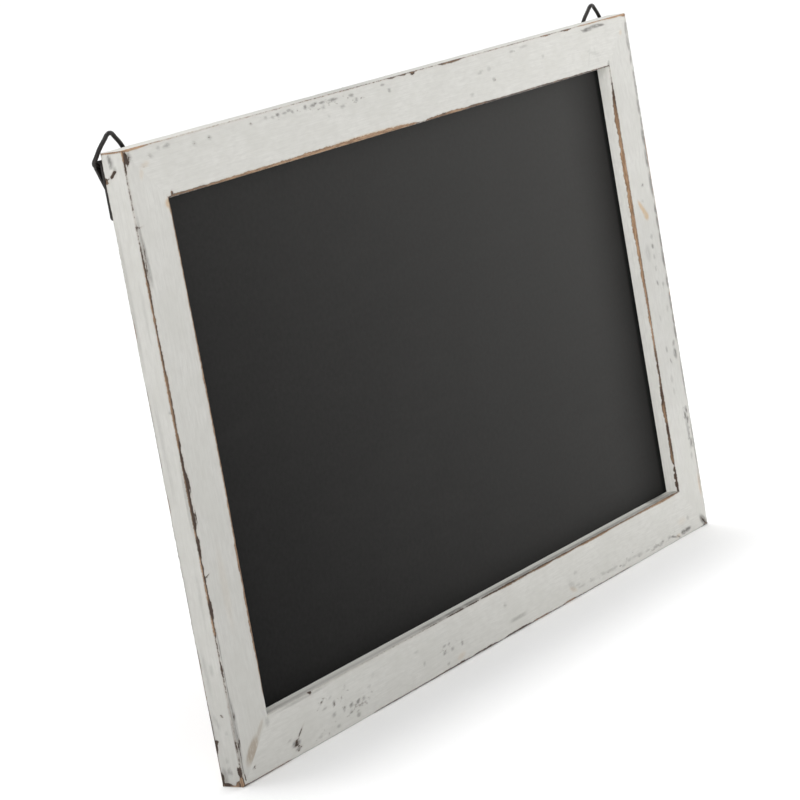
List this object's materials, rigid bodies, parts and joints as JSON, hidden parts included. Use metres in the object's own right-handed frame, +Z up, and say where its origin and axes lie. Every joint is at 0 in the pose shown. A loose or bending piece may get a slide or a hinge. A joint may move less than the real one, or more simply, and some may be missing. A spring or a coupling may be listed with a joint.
{
  "type": "wall chalkboard",
  "caption": "Dark chalk writing panel set back in a mitred, worn white-painted wooden frame, with a swinging triangular wire hanging ring on a folded steel plate behind each top corner.",
  "frame": {"origin": "on the frame's back plane, in the middle of the bottom rail's flat back", "axes": "+Y points at the wall behind the board, +Z up the board, +X to the reader's right"},
  "size_m": [0.6143, 0.0253, 0.4177],
  "materials": {
    "painted_wood": "matte",
    "chalk_surface": "matte",
    "black_steel": "satin",
    "bare_steel": "satin"
  },
  "bodies": {
    "frame": {"top_rail": "painted_wood", "bottom_rail": "painted_wood", "left_stile": "painted_wood", "right_stile": "painted_wood", "chalkboard_panel": "chalk_surface", "v_nail_top_left_1": "bare_steel", "v_nail_top_left_2": "bare_steel", "v_nail_top_right_1": "bare_steel", "v_nail_top_right_2": "bare_steel", "v_nail_bottom_left_1": "bare_steel", "v_nail_bottom_left_2": "bare_steel", "v_nail_bottom_right_1": "bare_steel", "v_nail_bottom_right_2": "bare_steel", "framing_point_top_1": "bare_steel", "framing_point_top_2": "bare_steel", "framing_point_top_3": "bare_steel", "framing_point_bottom_1": "bare_steel", "framing_point_bottom_2": "bare_steel", "framing_point_bottom_3": "bare_steel", "framing_point_left_1": "bare_steel", "framing_point_left_2": "bare_steel", "framing_point_right_1": "bare_steel", "framing_point_right_2": "bare_steel", "left_hanger_plate": "black_steel", "left_hanger_screw_1": "black_steel", "left_hanger_screw_2": "black_steel", "right_hanger_plate": "black_steel", "right_hanger_screw_1": "black_steel", "right_hanger_screw_2": "black_steel"},
    "left_ring": {"left_hanger_ring": "black_steel"},
    "right_ring": {"right_hanger_ring": "black_steel"}
  },
  "joints": [
    {"name": "left_ring_swing", "type": "hinge", "parent": "frame", "child": "left_ring", "pos_m": [-0.291, 0.00419, 0.38329], "axis": [-1, 0, 0], "range_deg": [-10, 130]},
    {"name": "right_ring_swing", "type": "hinge", "parent": "frame", "child": "right_ring", "pos_m": [0.2885, 0.00419, 0.38329], "axis": [-1, 0, 0], "range_deg": [-10, 130]}
  ]
}
